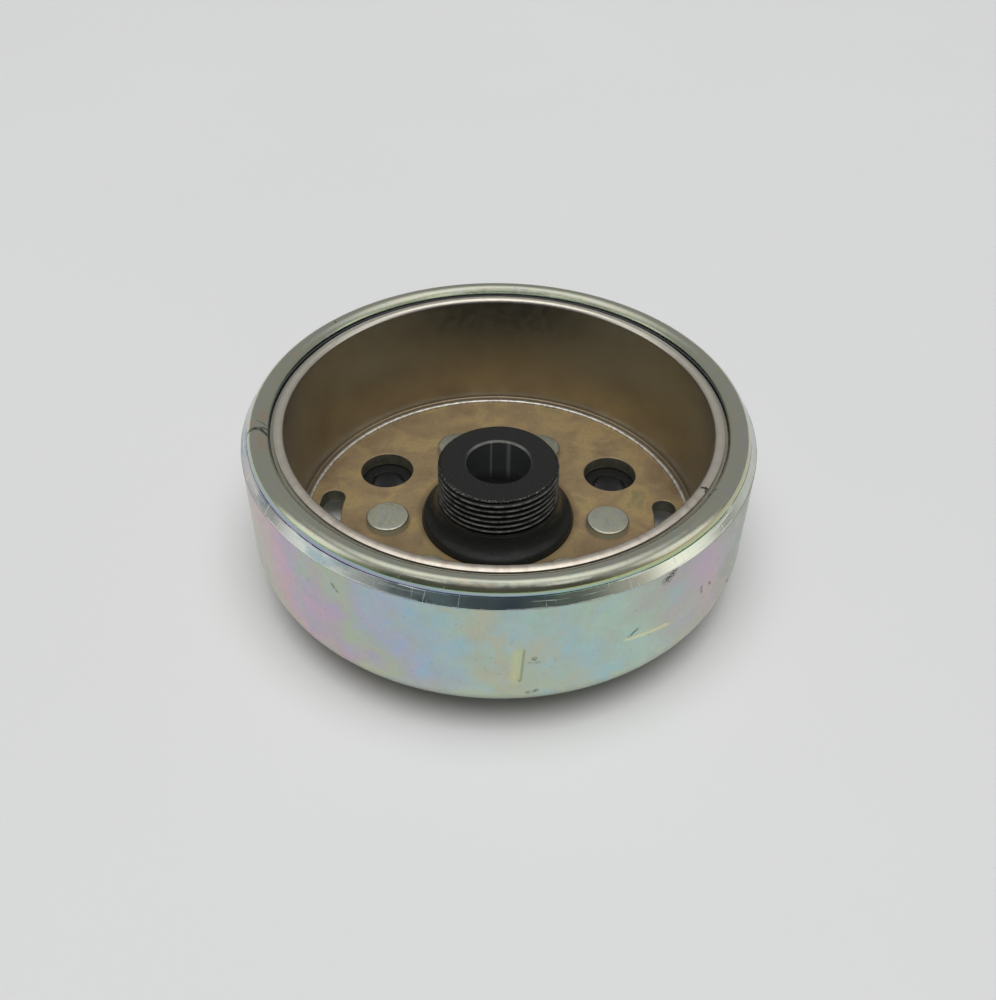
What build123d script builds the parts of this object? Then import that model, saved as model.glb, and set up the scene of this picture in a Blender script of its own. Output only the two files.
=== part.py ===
from build123d import *
import math
import os

# Bare magneto flywheel (outer rotor) of a small engine, in millimetres.
# Frame: origin on the rotation axis at the underside of the hub flange, where the
# starter clutch bolts on. +Z points out of the open mouth of the cup.

# ---- Driving dimensions -------------------------------------------------------------
FLANGE_T = 6.5                       # hub flange, under the cup floor
FLOOR_T = 3.3                        # sheet thickness of the cup floor
FLOOR_Z = FLANGE_T + FLOOR_T         # top of the cup floor
RUN = 0.05                           # play left between neighbouring pieces

# Cup: deep-drawn steel shell with a turned band and a rolled-in rim
WALL_R = 56.4                        # outside radius
WALL_IN_R = 52.5                     # inside radius, behind the magnets
CORNER_R = 8.0                       # outside corner between wall and floor
CORNER_IN_R = 3.5                    # inside corner
BAND_LOW_Z = FLOOR_Z + 27.45         # turned conical band
BAND_TOP_Z = FLOOR_Z + 29.35
BAND_LOW_R = 56.3
BAND_TOP_R = 54.95
GROOVE_R = 54.55                     # fine groove between band and rim
GROOVE_H = 0.3
BEAD_R = 3.0                         # rounding of the rim's inner side
BEAD_CENTRE_R = 52.56
BEAD_CENTRE_Z = FLOOR_Z + 28.83
OUTER_R = 2.3                        # tighter rounding of the bead's outer side
RIM_IN_R = 50.2                      # inner edge of the rolled rim
RIM_UNDER_Z = FLOOR_Z + 28.55        # underside of the rolled-in rim
CENTRE_HOLE_R = 17.95                # floor hole round the hub spigot

# Floor openings
BOLT_CIRCLE_R = 32.0                 # starter clutch bolts
BOLT_ANGLES = (30, 150, 270)
ACCESS_R = 6.4                       # floor hole over each bolt seat
SLOT_R = 40.1                        # centre line of the two curved slots
SLOT_W = 5.5
SLOT_SWEEP = 12.7                    # degrees between the centres of the round ends
SLOT_ANGLES = (178.7, 358.7)

# Hub
FLANGE_R = 36.6
FLANGE_CHAMFER = 0.6
LOBE_R = 7.2                         # rounded lobe of the flange round each bolt hole
BOLT_HOLE_R = 4.0
SPOT_FACE = 0.4                      # depth of the bolt seat below the flange's top
HUB_TOP_Z = FLOOR_Z + 16.5
SPIGOT_R = 17.9
SHOULDER_R = 1.8                     # convex shoulder at the foot of the bell skirt
BELL_R = 5.8                         # hollow curve of the skirt above the shoulder
BELL_TURN = 60                       # degrees where the shoulder runs into the hollow
BELL_END = 190                       # degrees where the hollow stops, just under the thread
NECK_R = 12.9                        # thread run-out between skirt and thread
THREAD_R = 14.0                      # M28 x 1.5
THREAD_PITCH = 1.5
THREAD_DEPTH = 0.92
THREAD_TURNS = 6
TOP_CHAMFER = 0.8
BORE_R = 7.45                        # straight counterbore for the shaft's threaded end
BORE_DEPTH = 6.5
BORE_CHAMFER = 0.4
TAPER_TOP_R = 7.45                   # small end of the crankshaft taper, where the bore ends
TAPER = 1 / 8                        # on diameter
KEYWAY_W = 3.0
KEYWAY_DEPTH = 1.6
KEYWAY_ANGLE = 270

# Rivets joining cup and hub
RIVET_CIRCLE_R = 26.1
RIVET_OFFSET = 36.5                  # degrees to either side of each bolt hole
RIVET_HEAD_R = 5.0
RIVET_HEAD_H = 2.0
RIVET_EDGE = 0.35
RIVET_SHANK_R = 3.0
RIVET_TAIL_R = 4.4                   # tail closed into a countersink, flush underneath
RIVET_TAIL_H = 1.4

# Magnet pack: sleeve, magnets, dividers and two spacer rings
SLEEVE_IN_R = 47.0
SLEEVE_T = 0.5
SLEEVE_FOOT_R = 45.1                 # inner edge of the turned-in foot
FOOT_BEND_R = 0.4
LIP_OUT_R = 49.35
LIP_BEND_R = 1.0                     # inner bend of the lip
LIP_CROWN_R = 2.2                    # flatter crown that falls away outwards
LIP_TURN = 100                       # degrees where the bend runs into the crown
LIP_TOP_Z = FLOOR_Z + 30.55
PACK_IN_R = SLEEVE_IN_R + SLEEVE_T + RUN
PACK_OUT_R = WALL_IN_R - RUN
MAGNET_COUNT = 6
MAGNET_LOW_Z = FLOOR_Z + 4.5
MAGNET_TOP_Z = FLOOR_Z + 27.0
MAGNET_SPAN = 54.0                   # degrees
MAGNET_EDGE = 0.4
DIVIDER_SPAN = 5.7                   # degrees
UPPER_RING_STEP_R = 49.9             # inner part stands up under the sleeve lip
UPPER_RING_STEP_Z = FLOOR_Z + 29.6


def polar(radius, degrees):
    """Point on the XY plane from radius and angle."""
    a = math.radians(degrees)
    return (radius * math.cos(a), radius * math.sin(a))


def arc_point(centre, radius, degrees):
    """Point (r, z) on a circle in the half plane of a turned section."""
    a = math.radians(degrees)
    return (centre[0] + radius * math.cos(a), centre[1] + radius * math.sin(a))


def bulge(start, end, centre, radius, degrees):
    """Arc from start to end through the point at the given angle about the centre."""
    return ThreePointArc(start, arc_point(centre, radius, degrees), end)


def turned(edges):
    """Solid of revolution about Z from a closed section drawn as (r, z)."""
    section = Plane.XZ * make_face(edges)
    return revolve(section, axis=Axis.Z, revolution_arc=360)


def ring_sector(r_in, r_out, z_low, z_high, middle, span, edge):
    """Arc-shaped block between two radii, with its outline edges chamfered."""
    half = span / 2
    inner = ThreePointArc(polar(r_in, middle - half), polar(r_in, middle), polar(r_in, middle + half))
    outer = ThreePointArc(polar(r_out, middle - half), polar(r_out, middle), polar(r_out, middle + half))
    side_a = Line(inner @ 0, outer @ 0)
    side_b = Line(inner @ 1, outer @ 1)
    face = make_face(inner + side_a + outer + side_b)
    block = Pos(0, 0, z_low) * extrude(face, z_high - z_low, dir=(0, 0, 1))
    return chamfer(block.edges(), edge) if edge else block


# ---- Rotor cup ----------------------------------------------------------------------
def cup_shell():
    """Turned section of the shell: floor, corner, wall, band, groove and rolled rim."""
    corner = (WALL_R - CORNER_R, FLANGE_T + CORNER_R)
    corner_in = (WALL_IN_R - CORNER_IN_R, FLOOR_Z + CORNER_IN_R)
    # the rim turns up from the groove with a tight arc and falls away inwards with a wider one
    bead = (BEAD_CENTRE_R, BEAD_CENTRE_Z)
    outer = (BEAD_CENTRE_R, BEAD_CENTRE_Z + BEAD_R - OUTER_R)
    groove_top_z = BAND_TOP_Z + GROOVE_H
    first = math.degrees(math.asin((groove_top_z - outer[1]) / OUTER_R))
    last = math.degrees(math.acos((RIM_IN_R - BEAD_CENTRE_R) / BEAD_R))
    outer_low = arc_point(outer, OUTER_R, first)
    crown = arc_point(bead, BEAD_R, 90)
    bead_in = arc_point(bead, BEAD_R, last)
    nose = (RIM_IN_R + 0.5, RIM_UNDER_Z)

    outline = [
        Line((CENTRE_HOLE_R, FLANGE_T), (corner[0], FLANGE_T)),
        bulge((corner[0], FLANGE_T), (WALL_R, corner[1]), corner, CORNER_R, -45),
        Polyline(
            (WALL_R, corner[1]),
            (WALL_R, BAND_LOW_Z),
            (BAND_LOW_R, BAND_LOW_Z),
            (BAND_TOP_R, BAND_TOP_Z),
            (GROOVE_R, BAND_TOP_Z),
            (GROOVE_R, groove_top_z),
            outer_low,
        ),
        bulge(outer_low, crown, outer, OUTER_R, (first + 90) / 2),
        bulge(crown, bead_in, bead, BEAD_R, (90 + last) / 2),
        Polyline(
            bead_in,
            (RIM_IN_R, RIM_UNDER_Z + 0.5),
            nose,
            (WALL_IN_R, RIM_UNDER_Z),
            (WALL_IN_R, corner_in[1]),
        ),
        bulge((WALL_IN_R, corner_in[1]), (corner_in[0], FLOOR_Z), corner_in, CORNER_IN_R, -45),
        Line((corner_in[0], FLOOR_Z), (CENTRE_HOLE_R, FLOOR_Z)),
        Line((CENTRE_HOLE_R, FLOOR_Z), (CENTRE_HOLE_R, FLANGE_T)),
    ]
    return turned(outline)


def floor_slot(middle):
    """Tool for one curved, round-ended slot through the floor."""
    half = SLOT_SWEEP / 2
    r_in = SLOT_R - SLOT_W / 2
    r_out = SLOT_R + SLOT_W / 2
    depth = FLOOR_T + 2
    body = ring_sector(r_in, r_out, FLANGE_T - 1, FLANGE_T - 1 + depth, middle, SLOT_SWEEP, 0)
    for end in (middle - half, middle + half):
        x, y = polar(SLOT_R, end)
        body += Pos(x, y, FLANGE_T - 1 + depth / 2) * Cylinder(SLOT_W / 2, depth)
    return body


def rivet_angles():
    """Six rivets in three pairs, one pair facing each gap between bolt holes."""
    return [a + side * RIVET_OFFSET for a in BOLT_ANGLES for side in (-1, 1)]


def rotor_cup():
    """Drawn cup with rolled rim, access holes, rivet holes and the two curved slots."""
    cup = cup_shell()
    for angle in BOLT_ANGLES:
        x, y = polar(BOLT_CIRCLE_R, angle)
        cup -= Pos(x, y, FLOOR_Z) * Cylinder(ACCESS_R, 4 * FLOOR_T)
    for angle in rivet_angles():
        x, y = polar(RIVET_CIRCLE_R, angle)
        cup -= Pos(x, y, FLOOR_Z) * Cylinder(RIVET_SHANK_R + RUN, 4 * FLOOR_T)
    for angle in SLOT_ANGLES:
        cup -= floor_slot(angle)
    return cup


# ---- Hub ----------------------------------------------------------------------------
def hub_body():
    """Turned section of the hub: flange, spigot, skirt, neck, threaded boss and bore."""
    # shoulder and hollow touch on the line between their centres
    shoulder = (SPIGOT_R - SHOULDER_R, FLOOR_Z + 0.3)
    bell = arc_point(shoulder, SHOULDER_R + BELL_R, BELL_TURN)
    bell_low = arc_point(shoulder, SHOULDER_R, BELL_TURN)
    bell_top = arc_point(bell, BELL_R, BELL_END)
    bell_mid = (180 + BELL_TURN + BELL_END) / 2
    taper_low_r = TAPER_TOP_R + (HUB_TOP_Z - BORE_DEPTH) * TAPER / 2
    chamfer_z = HUB_TOP_Z - BORE_CHAMFER
    bore_low_z = HUB_TOP_Z - BORE_DEPTH

    # annular V grooves at the thread's pitch, from the top chamfer down to the run-out
    thread_top = HUB_TOP_Z - TOP_CHAMFER
    thread = [(NECK_R, thread_top - THREAD_TURNS * THREAD_PITCH - 0.5)]
    crest = THREAD_PITCH / 8
    root_r = THREAD_R - THREAD_DEPTH
    for turn in range(THREAD_TURNS, 0, -1):
        z = thread_top - turn * THREAD_PITCH
        thread += [
            (THREAD_R, z - crest / 2),
            (THREAD_R, z + crest / 2),
            (root_r, z + THREAD_PITCH / 2 - crest),
            (root_r, z + THREAD_PITCH / 2 + crest),
        ]
    thread += [(THREAD_R, thread_top - crest / 2), (THREAD_R, thread_top)]

    outline = [
        Polyline(
            (FLANGE_R - FLANGE_CHAMFER, 0),
            (FLANGE_R, FLANGE_CHAMFER),
            (FLANGE_R, FLANGE_T),
            (SPIGOT_R, FLANGE_T),
            (SPIGOT_R, shoulder[1]),
        ),
        bulge((SPIGOT_R, shoulder[1]), bell_low, shoulder, SHOULDER_R, BELL_TURN / 2),
        bulge(bell_low, bell_top, bell, BELL_R, bell_mid),
        Polyline(bell_top, *thread),
        Polyline(
            (THREAD_R, thread_top),
            (THREAD_R - TOP_CHAMFER, HUB_TOP_Z),
            (BORE_R + BORE_CHAMFER, HUB_TOP_Z),
            (BORE_R, chamfer_z),
            (TAPER_TOP_R, bore_low_z),
            (taper_low_r, 0),
            (FLANGE_R - FLANGE_CHAMFER, 0),
        ),
    ]
    return turned(outline)


def bolt_lobe():
    """Lobe of the flange on the Z axis, with its lower edge chamfered like the flange."""
    section = Polyline(
        (0, 0),
        (LOBE_R - FLANGE_CHAMFER, 0),
        (LOBE_R, FLANGE_CHAMFER),
        (LOBE_R, FLANGE_T),
        (0, FLANGE_T),
        close=True,
    )
    return turned(section)


def hub():
    """Hub with three bolt lobes, bolt seats, countersunk rivet holes and the keyway."""
    body = hub_body()
    for angle in BOLT_ANGLES:
        x, y = polar(BOLT_CIRCLE_R, angle)
        body += Pos(x, y, 0) * bolt_lobe()
    for angle in BOLT_ANGLES:
        x, y = polar(BOLT_CIRCLE_R, angle)
        body -= Pos(x, y, FLANGE_T / 2) * Cylinder(BOLT_HOLE_R, 2 * FLANGE_T)
        body -= Pos(x, y, FLANGE_T) * Cylinder(ACCESS_R, 2 * SPOT_FACE)
    for angle in rivet_angles():
        x, y = polar(RIVET_CIRCLE_R, angle)
        body -= Pos(x, y, FLANGE_T / 2) * Cylinder(RIVET_SHANK_R + RUN, 2 * FLANGE_T)
        body -= Pos(x, y, RIVET_TAIL_H / 2) * Cone(RIVET_TAIL_R + RUN, RIVET_SHANK_R + RUN, RIVET_TAIL_H)
    key_h = HUB_TOP_Z - BORE_DEPTH
    key_reach = TAPER_TOP_R + KEYWAY_DEPTH
    x, y = polar(key_reach / 2, KEYWAY_ANGLE)
    slot = Pos(x, y, key_h / 2) * Rot(0, 0, KEYWAY_ANGLE) * Box(key_reach, KEYWAY_W, key_h)
    body -= slot
    return body


# ---- Rivets -------------------------------------------------------------------------
def rivet():
    """One closed rivet on the Z axis: flat round head, shank and flush conical tail."""
    head_top = FLOOR_Z + RIVET_HEAD_H
    section = Polyline(
        (0, 0),
        (RIVET_TAIL_R, 0),
        (RIVET_SHANK_R, RIVET_TAIL_H),
        (RIVET_SHANK_R, FLOOR_Z),
        (RIVET_HEAD_R, FLOOR_Z),
        (RIVET_HEAD_R, head_top - RIVET_EDGE),
        (RIVET_HEAD_R - RIVET_EDGE, head_top),
        (0, head_top),
        close=True,
    )
    return turned(section)


def hub_rivets():
    """The six identical rivets."""
    one = rivet()
    placed = []
    for angle in rivet_angles():
        x, y = polar(RIVET_CIRCLE_R, angle)
        placed.append(Pos(x, y, 0) * one)
    return Compound(children=placed)


# ---- Magnet pack --------------------------------------------------------------------
def magnet_sleeve():
    """Thin drawn liner: turned-in foot on the floor, straight wall, folded-out lip."""
    out_r = SLEEVE_IN_R + SLEEVE_T
    foot_z = FLOOR_Z + 0.02
    foot = (SLEEVE_IN_R - FOOT_BEND_R, foot_z + SLEEVE_T + FOOT_BEND_R)
    outer_bend = FOOT_BEND_R + SLEEVE_T
    under_bend = LIP_BEND_R - SLEEVE_T
    under_crown = LIP_CROWN_R - SLEEVE_T
    # centres of bend and crown lie on one line, so that the two arcs meet smoothly
    step_r, step_z = arc_point((0, 0), LIP_CROWN_R - LIP_BEND_R, LIP_TURN)
    crown = (SLEEVE_IN_R + LIP_BEND_R - step_r, LIP_TOP_Z - LIP_CROWN_R)
    bend = (SLEEVE_IN_R + LIP_BEND_R, crown[1] + step_z)
    last = math.degrees(math.acos((LIP_OUT_R - crown[0]) / LIP_CROWN_R))
    crown_mid = (LIP_TURN + last) / 2
    bend_mid = (180 + LIP_TURN) / 2
    over_turn = arc_point(crown, LIP_CROWN_R, LIP_TURN)
    under_turn = arc_point(crown, under_crown, LIP_TURN)
    edge = arc_point(crown, LIP_CROWN_R, last)
    under_edge = arc_point(crown, under_crown, last)
    outline = [
        Line((SLEEVE_FOOT_R, foot_z), (foot[0], foot_z)),
        bulge((foot[0], foot_z), (out_r, foot[1]), foot, outer_bend, -45),
        Line((out_r, foot[1]), (out_r, bend[1])),
        bulge((out_r, bend[1]), under_turn, bend, under_bend, bend_mid),
        bulge(under_turn, under_edge, crown, under_crown, crown_mid),
        Line(under_edge, edge),
        bulge(edge, over_turn, crown, LIP_CROWN_R, crown_mid),
        bulge(over_turn, (SLEEVE_IN_R, bend[1]), bend, LIP_BEND_R, bend_mid),
        Line((SLEEVE_IN_R, bend[1]), (SLEEVE_IN_R, foot[1])),
        bulge((SLEEVE_IN_R, foot[1]), (foot[0], foot_z + SLEEVE_T), foot, FOOT_BEND_R, -45),
        Line((foot[0], foot_z + SLEEVE_T), (SLEEVE_FOOT_R, foot_z + SLEEVE_T)),
        Line((SLEEVE_FOOT_R, foot_z + SLEEVE_T), (SLEEVE_FOOT_R, foot_z)),
    ]
    return turned(outline)


def lower_spacer_ring():
    """Ring that carries the magnets, rounded to sit in the cup's inside corner."""
    bend = CORNER_IN_R - RUN
    centre = (WALL_IN_R - CORNER_IN_R, FLOOR_Z + CORNER_IN_R)
    top = MAGNET_LOW_Z - RUN
    outline = [
        Line((PACK_IN_R, FLOOR_Z + RUN), (centre[0], FLOOR_Z + RUN)),
        bulge((centre[0], FLOOR_Z + RUN), (PACK_OUT_R, centre[1]), centre, bend, -45),
        Polyline(
            (PACK_OUT_R, centre[1]),
            (PACK_OUT_R, top),
            (PACK_IN_R, top),
            (PACK_IN_R, FLOOR_Z + RUN),
        ),
    ]
    return turned(outline)


def upper_spacer_ring():
    """Stepped ring over the magnets, trapped under the rolled rim and the sleeve lip."""
    low = MAGNET_TOP_Z + RUN
    under_rim = RIM_UNDER_Z - RUN
    bend_r = SLEEVE_IN_R + LIP_BEND_R
    section = Polyline(
        (PACK_IN_R, low),
        (PACK_OUT_R, low),
        (PACK_OUT_R, under_rim),
        (UPPER_RING_STEP_R, under_rim),
        (UPPER_RING_STEP_R, UPPER_RING_STEP_Z),
        (bend_r, UPPER_RING_STEP_Z),
        (PACK_IN_R, UPPER_RING_STEP_Z - 0.4),
        close=True,
    )
    return turned(section)


def magnet(index):
    """One arc magnet."""
    middle = index * 360 / MAGNET_COUNT
    return ring_sector(PACK_IN_R, PACK_OUT_R, MAGNET_LOW_Z, MAGNET_TOP_Z, middle, MAGNET_SPAN, MAGNET_EDGE)


def divider(index):
    """Wedge that keeps two neighbouring magnets apart."""
    middle = (index + 0.5) * 360 / MAGNET_COUNT
    return ring_sector(PACK_IN_R, PACK_OUT_R, MAGNET_LOW_Z, MAGNET_TOP_Z, middle, DIVIDER_SPAN, 0)


# ---- Write one file per piece -------------------------------------------------------
pieces = {
    "rotor_cup": rotor_cup(),
    "hub": hub(),
    "hub_rivets": hub_rivets(),
    "magnet_sleeve": magnet_sleeve(),
    "lower_spacer_ring": lower_spacer_ring(),
    "upper_spacer_ring": upper_spacer_ring(),
}
for i in range(MAGNET_COUNT):
    pieces[f"magnet_{i + 1}"] = magnet(i)
    pieces[f"magnet_divider_{i + 1}"] = divider(i)

os.makedirs("parts", exist_ok=True)
for name, piece in pieces.items():
    export_step(piece, f"parts/{name}.step")
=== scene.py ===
"""Looks for a bare magneto flywheel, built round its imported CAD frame.

The plated cup, the black hub, the rivets and the liner are rebuilt as fine meshes over their
CAD nodes. The magnets, dividers and spacer rings stay CAD and only get materials.
Lengths below are millimetres and are scaled to metres when a mesh is made.
"""

import math

import bmesh
import bpy
from mathutils import Matrix, Vector


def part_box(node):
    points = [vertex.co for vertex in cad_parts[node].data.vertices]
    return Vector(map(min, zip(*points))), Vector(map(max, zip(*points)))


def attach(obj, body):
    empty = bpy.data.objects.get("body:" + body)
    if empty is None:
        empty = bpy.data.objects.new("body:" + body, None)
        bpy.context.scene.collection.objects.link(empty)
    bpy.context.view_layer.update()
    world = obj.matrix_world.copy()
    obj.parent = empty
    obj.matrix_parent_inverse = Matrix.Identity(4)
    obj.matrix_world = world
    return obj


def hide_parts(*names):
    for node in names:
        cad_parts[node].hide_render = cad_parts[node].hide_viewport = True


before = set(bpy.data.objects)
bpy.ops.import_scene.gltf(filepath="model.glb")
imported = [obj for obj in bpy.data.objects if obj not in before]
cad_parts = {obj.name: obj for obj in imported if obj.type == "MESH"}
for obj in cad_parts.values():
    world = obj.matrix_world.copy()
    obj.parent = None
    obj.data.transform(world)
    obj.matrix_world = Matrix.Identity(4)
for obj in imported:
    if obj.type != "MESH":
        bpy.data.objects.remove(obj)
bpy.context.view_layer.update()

MM = 0.001


# ---- Sizes, read from the frame where a node shows them ------------------------------
def span(node):
    """Lowest and highest corner of a CAD node, in millimetres."""
    low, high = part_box(node)
    return low / MM, high / MM


cup_low, cup_high = span("rotor_cup")
liner_low, liner_high = span("magnet_sleeve")

PLAY = 0.05                              # gap left between neighbouring pieces
WALL_R = cup_high.x
FLANGE_T = cup_low.z
RIM_TOP = cup_high.z
FLOOR_Z = liner_low.z - 0.02             # top of the cup floor
HUB_TOP = span("hub")[1].z
RIVET_TOP = span("hub_rivets")[1].z
LIP_R = liner_high.x
LIP_TOP = liner_high.z

# cup
WALL_IN_R = WALL_R - 3.9
CORNER_R = 8.0                           # drawn corner between floor and wall, outside
CORNER_IN_R = 3.5                        # the same corner inside
BAND_LOW = RIM_TOP - 4.38                # turned conical band below the rim
BAND_TOP = RIM_TOP - 2.48
BAND_LOW_R = WALL_R - 0.1
BAND_TOP_R = WALL_R - 1.45
GROOVE_R = WALL_R - 1.85
BEAD_R = 3.0                             # rounding of the rim's inner side
BEAD_CENTRE_R = WALL_R - 3.84
OUTER_R = 2.3                            # tighter rounding of its outer side
RIM_IN_R = LIP_R + 0.85
RIM_UNDER_Z = RIM_TOP - 3.28
SPIGOT_R = 17.9

# floor openings
BOLT_CIRCLE_R = 32.0
BOLT_ANGLES = (30, 150, 270)
ACCESS_R = 6.4
SLOT_R = 40.1
SLOT_W = 5.5
SLOT_SWEEP = 12.7
SLOT_ANGLES = (178.7, 358.7)

# hub
FLANGE_R = 36.6
LOBE_R = 7.2
BOLT_HOLE_R = 4.0
SEAT_DEPTH = 0.4                         # flat seats sunk into the flange round the bolt holes
THREAD_R = 14.0
THREAD_PITCH = 1.5
THREAD_DEPTH = 0.92
THREAD_LOW = HUB_TOP - 10.3
THREAD_CHAMFER = 0.8                     # at the boss's upper end
NECK_R = 12.9
SHOULDER_R = 1.8                         # convex shoulder at the foot of the bell skirt
BELL_R = 5.8                             # hollow curve of the skirt above the shoulder
BELL_TURN = 60                           # degrees where the shoulder runs into the hollow
BELL_END = 190                           # degrees where the hollow stops, under the thread
BORE_R = 7.45
BORE_CHAMFER = 0.4
BORE_DEPTH = 6.5
TAPER_TOP_R = BORE_R
TAPER_LOW_R = TAPER_TOP_R + (HUB_TOP - BORE_DEPTH) / 16
KEYWAY_W = 3.0
KEYWAY_REACH = 9.05

# rivets
RIVET_CIRCLE_R = 26.1
RIVET_OFFSET = 36.5
RIVET_HEAD_R = 5.0
RIVET_SHANK_R = 3.0
RIVET_TAIL_R = 4.4
RIVET_TAIL_H = 1.4

# liner
LINER_R = LIP_R - 2.35
LINER_T = 0.5
LIP_BEND_R = 1.0                         # inner bend of the lip
LIP_CROWN_R = 2.2                        # flatter crown that falls away outwards
LIP_TURN = 100                           # degrees where the bend runs into the crown
FOOT_R = LINER_R - 1.9


# ---- Mesh helpers --------------------------------------------------------------------
def arc(centre_r, centre_z, radius, start, end, steps):
    """Points on an arc of a turned section, as corners with no rounding of their own."""
    points = []
    for k in range(steps + 1):
        a = math.radians(start + (end - start) * k / steps)
        points.append((centre_r + radius * math.cos(a), centre_z + radius * math.sin(a), 0))
    return points


def rounded(corners, arc_step=10):
    """Closed outline from corners (r, z, rounding radius). Each rounding becomes an arc."""
    outline = []
    for i, (r, z, radius) in enumerate(corners):
        here = Vector((r, z))
        if not radius:
            outline.append(here)
            continue
        back = (Vector(corners[i - 1][:2]) - here).normalized()
        ahead = (Vector(corners[(i + 1) % len(corners)][:2]) - here).normalized()
        half = back.angle(ahead) / 2
        centre = here + (back + ahead).normalized() * radius / math.sin(half)
        first = here + back * radius / math.tan(half) - centre
        last = here + ahead * radius / math.tan(half) - centre
        turn = math.atan2(first.x * last.y - first.y * last.x, first.dot(last))
        steps = max(2, math.ceil(abs(math.degrees(turn)) / arc_step))
        for k in range(steps + 1):
            outline.append(centre + Matrix.Rotation(turn * k / steps, 2) @ first)
    return outline


def new_object(name, verts, faces):
    """Mesh object in metres, with its faces turned outwards and any poles merged."""
    mesh = bpy.data.meshes.new(name)
    mesh.from_pydata([tuple(c * MM for c in v) for v in verts], [], faces)
    bm = bmesh.new()
    bm.from_mesh(mesh)
    bmesh.ops.remove_doubles(bm, verts=bm.verts, dist=1e-8)
    bmesh.ops.recalc_face_normals(bm, faces=bm.faces)
    bm.to_mesh(mesh)
    bm.free()
    obj = bpy.data.objects.new(name, mesh)
    bpy.context.scene.collection.objects.link(obj)
    return obj


def lathe(name, outline, segments=384, warp=None, at=(0, 0)):
    """Closed solid of revolution. warp(angle, r, z) may move each point of the outline."""
    rows = len(outline)
    verts = []
    for i in range(segments):
        a = math.tau * i / segments
        for r, z in outline:
            if warp:
                r, z = warp(a, r, z)
            verts.append((at[0] + r * math.cos(a), at[1] + r * math.sin(a), z))
    faces = []
    for i in range(segments):
        here, there = i * rows, (i + 1) % segments * rows
        for k in range(rows):
            after = (k + 1) % rows
            faces.append((here + k, there + k, there + after, here + after))
    return new_object(name, verts, faces)


def loft(name, rings):
    """Closed solid through rings of equally many points, with a flat cap at either end."""
    count = len(rings[0])
    verts = [point for ring in rings for point in ring]
    faces = [tuple(range(count - 1, -1, -1))]
    for base in range(0, len(verts) - count, count):
        for k in range(count):
            after = (k + 1) % count
            faces.append((base + k, base + after, base + count + after, base + count + k))
    faces.append(tuple(range(len(verts) - count, len(verts))))
    return new_object(name, verts, faces)


def polar(radius, degrees):
    """Point on the XY plane from radius and angle."""
    a = math.radians(degrees)
    return radius * math.cos(a), radius * math.sin(a)


def polar_from(centre, radius, degrees):
    """Point at a radius and angle from another point of the XY plane."""
    x, y = polar(radius, degrees)
    return centre[0] + x, centre[1] + y


def carve(obj, cutters):
    """Takes the cutters out of obj, applies the result and deletes the cutters."""
    for cutter in cutters:
        modifier = obj.modifiers.new("carve", "BOOLEAN")
        modifier.object = cutter
        modifier.operation = "DIFFERENCE"
        modifier.solver = "EXACT"
    graph = bpy.context.evaluated_depsgraph_get()
    mesh = bpy.data.meshes.new_from_object(obj.evaluated_get(graph))
    obj.modifiers.clear()
    obj.data = mesh
    for cutter in cutters:
        bpy.data.objects.remove(cutter)


def join(name, objects):
    """One object holding every mesh of the list."""
    bm = bmesh.new()
    for obj in objects:
        bm.from_mesh(obj.data)
        bpy.data.objects.remove(obj)
    mesh = bpy.data.meshes.new(name)
    bm.to_mesh(mesh)
    bm.free()
    joined = bpy.data.objects.new(name, mesh)
    bpy.context.scene.collection.objects.link(joined)
    return joined


def smooth(obj, degrees=32):
    """Smooth shading that keeps edges sharper than the given angle."""
    mesh = obj.data
    mesh.shade_smooth()
    mesh.set_sharp_from_angle(angle=math.radians(degrees))
    weighted = obj.modifiers.new("weighted normals", "WEIGHTED_NORMAL")
    weighted.keep_sharp = True


def paint(obj, materials, chooser=None):
    """Gives obj its materials; chooser(radius, z, normal) picks one by index for each face."""
    mesh = obj.data
    mesh.materials.clear()
    for material in materials:
        mesh.materials.append(material)
    for face in mesh.polygons:
        c = face.center / MM
        face.material_index = chooser(math.hypot(c.x, c.y), c.z, face.normal) if chooser else 0


def finish_piece(obj, slot, *nodes):
    """The piece stands for CAD nodes and rides on the one body; its slot argument is not used."""
    smooth(obj)
    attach(obj, "root")
    if nodes:
        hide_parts(*nodes)


# ---- Material helpers ----------------------------------------------------------------
def srgb(red, green, blue, gain=1.0):
    """Linear colour from 0 to 255 display values."""
    linear = [((v / 255 + 0.055) / 1.055) ** 2.4 * gain for v in (red, green, blue)]
    return (*linear, 1.0)


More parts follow.
